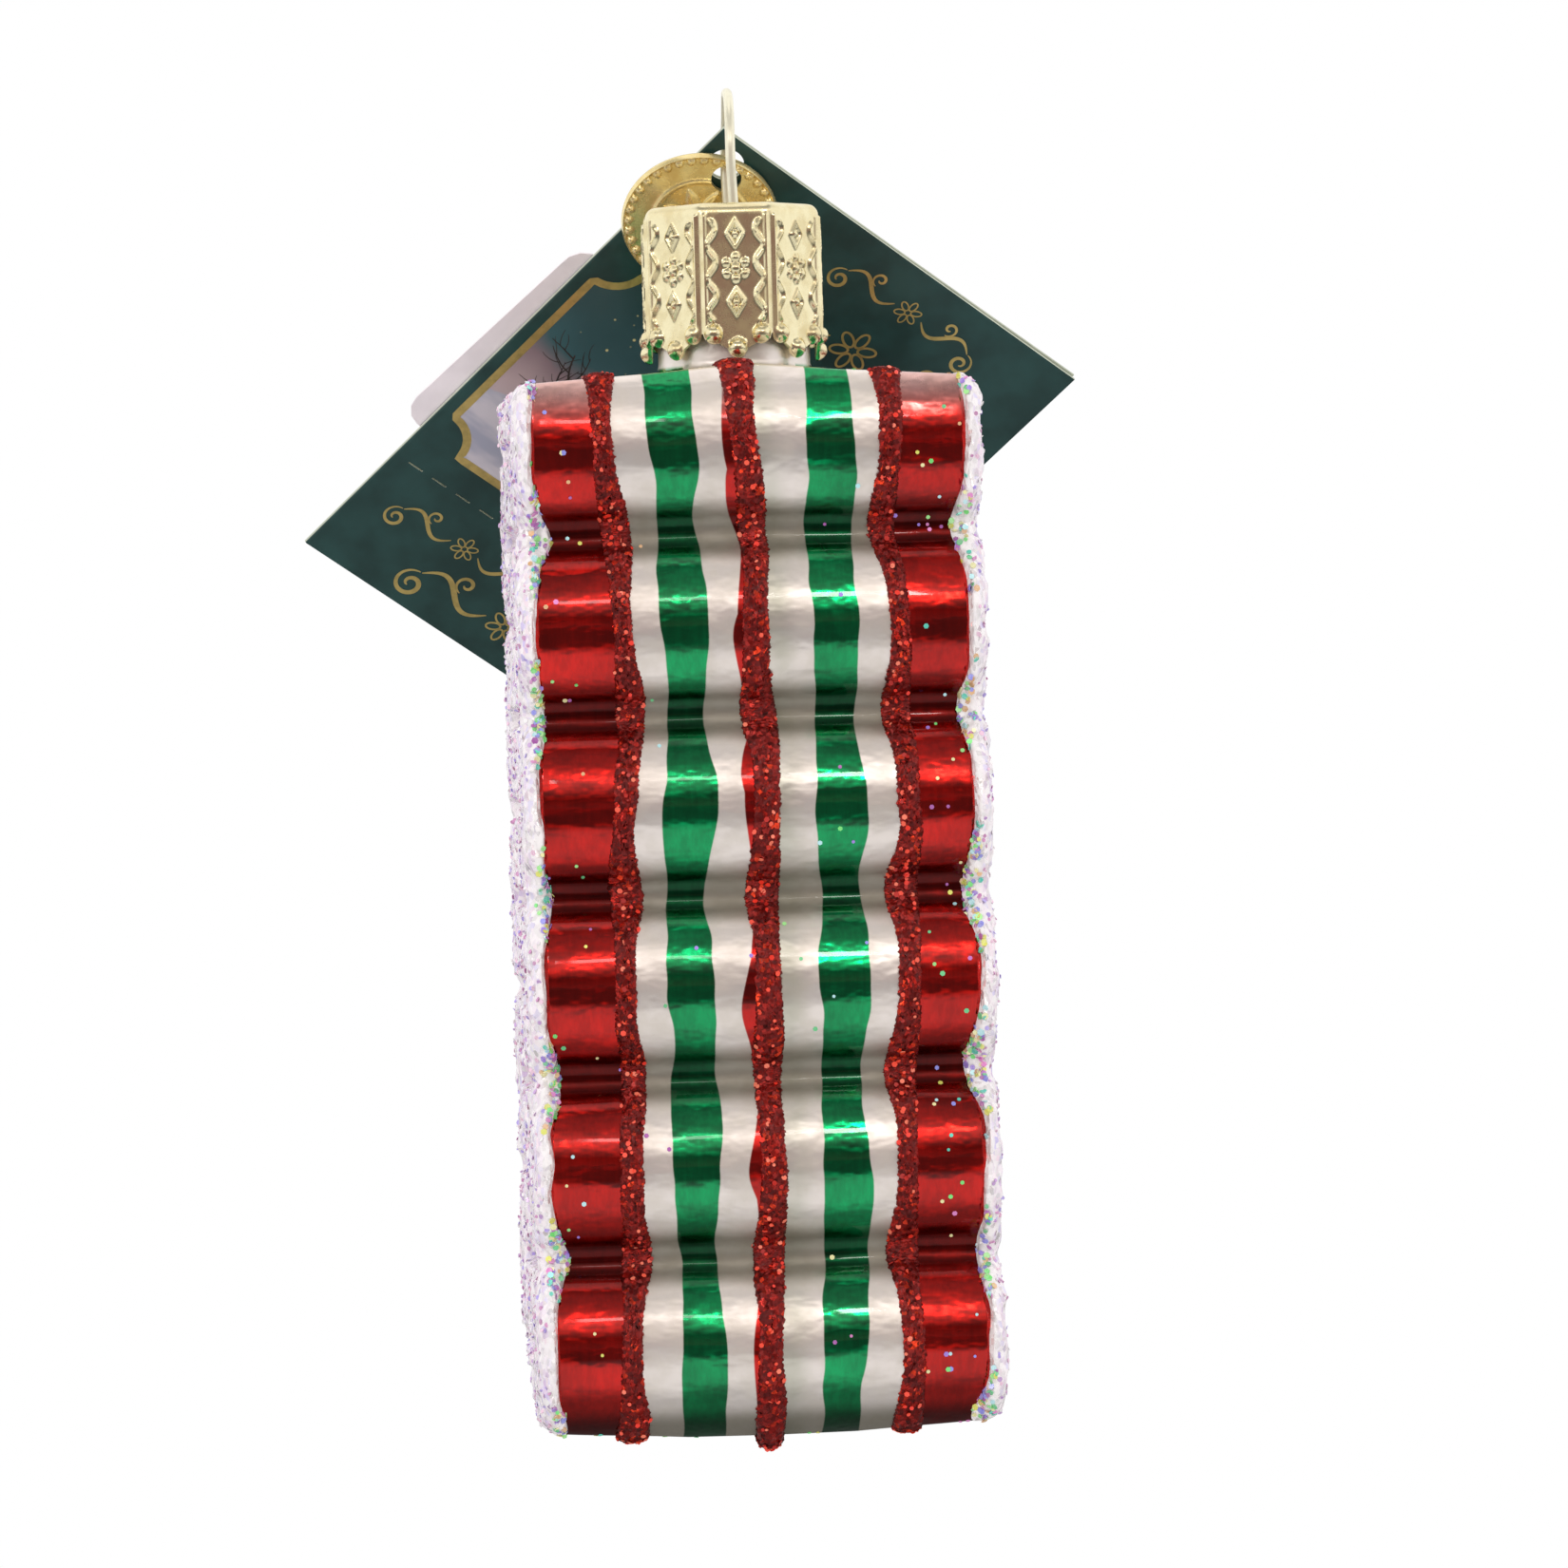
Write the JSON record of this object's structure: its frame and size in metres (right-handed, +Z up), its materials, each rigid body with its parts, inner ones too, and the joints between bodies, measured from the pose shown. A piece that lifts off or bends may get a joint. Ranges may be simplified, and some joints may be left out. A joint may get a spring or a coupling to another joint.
{
  "type": "ribbon candy ornament",
  "caption": "Hanging blown-glass ornament shaped as a folded candy ribbon, with glitter stripes, a gold cap, a wire loop, a beaded charm and a folded card tag.",
  "frame": {"origin": "inside top of the wire loop, where a hook bears", "axes": "+Z up, the striped front faces -Y, +X to the right of someone looking at the front"},
  "size_m": [0.0649, 0.0583, 0.1098],
  "materials": {
    "lacquered_glass": "silvered inside, with red and green transparent lacquer stripes and satin pearl white",
    "white_glitter": "iridescent white glitter",
    "red_glitter": "fine red glitter",
    "cap_metal": "bright pale gold, stamped",
    "wire_metal": "bright champagne",
    "charm_metal": "polished gold",
    "tag_card": "dark green satin print with gold lines",
    "label_paper": "matt pale pink"
  },
  "bodies": {
    "hanger": {"hanger_wire": "wire_metal", "cap_crown": "cap_metal"},
    "ornament": {"glass_body": "lacquered_glass", "sugar_crust_left": "white_glitter", "sugar_crust_right": "white_glitter", "glitter_band_left": "red_glitter", "glitter_band_centre": "red_glitter", "glitter_band_right": "red_glitter"},
    "charm": {"charm_medallion": "charm_metal"},
    "tag": {"hang_tag": "tag_card", "price_label": "label_paper"}
  },
  "joints": [
    {"name": "glass_pull", "type": "slide", "parent": "hanger", "child": "ornament", "axis": [0, 0, -1], "range_m": [0, 0.026]},
    {"name": "charm_swing", "type": "hinge", "parent": "hanger", "child": "charm", "pos_m": [0.00017, 0.005, -0.00608], "axis": [-0.0275, -0.7875, -0.6157], "range_deg": [0, 56]},
    {"name": "tag_swing", "type": "hinge", "parent": "hanger", "child": "tag", "pos_m": [0.00017, 0.005, -0.00486], "axis": [-0.0275, -0.7875, -0.6157], "range_deg": [-40, 40]}
  ]
}
